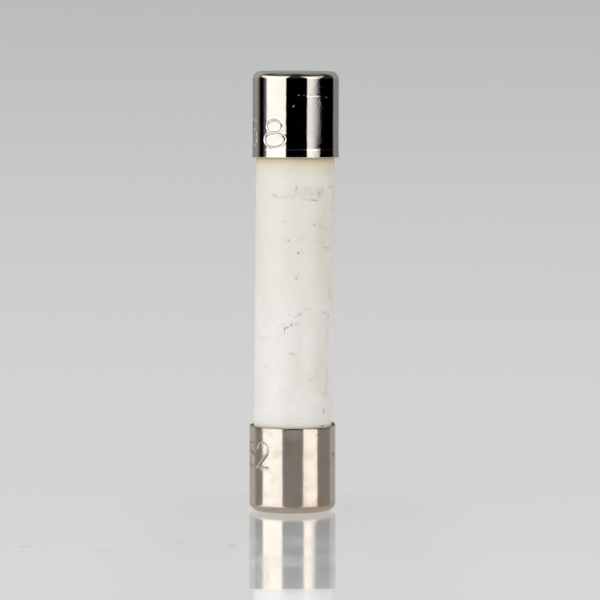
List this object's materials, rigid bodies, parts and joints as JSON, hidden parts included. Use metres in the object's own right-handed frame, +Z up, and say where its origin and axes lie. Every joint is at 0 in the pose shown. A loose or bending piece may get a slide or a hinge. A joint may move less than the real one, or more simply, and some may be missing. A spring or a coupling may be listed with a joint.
{
  "type": "ceramic cartridge fuse",
  "caption": "Slim round ceramic tube closed at each end by a drawn metal cap, with a punched fuse strip buried in sand inside.",
  "frame": {"origin": "middle of the lower cap's flat end, on which the fuse stands", "axes": "+Z up the fuse's axis to the upper cap; the fuse is round, so X and Y are free, and the strip inside is wide along X"},
  "size_m": [0.0064, 0.0064, 0.032],
  "materials": {
    "bright_nickel": "bright nickel plate on drawn brass, with fine scratches",
    "worn_nickel": "nickel plate on drawn brass, hazed and a little brown",
    "ceramic": "off-white unglazed ceramic, satin, with grey scuffs and a tan stain under the upper cap",
    "fibre": "vulcanised fibre",
    "solder": "tin solder, dull",
    "strip_copper": "rolled copper strip",
    "quartz_sand": "packed quartz sand, fine grains"
  },
  "bodies": {
    "root": {"lower_cap": "worn_nickel", "upper_cap": "bright_nickel", "ceramic_tube": "ceramic", "lower_washer": "fibre", "upper_washer": "fibre", "lower_solder": "solder", "upper_solder": "solder", "fuse_element": "strip_copper", "sand_filler": "quartz_sand"}
  },
  "joints": []
}
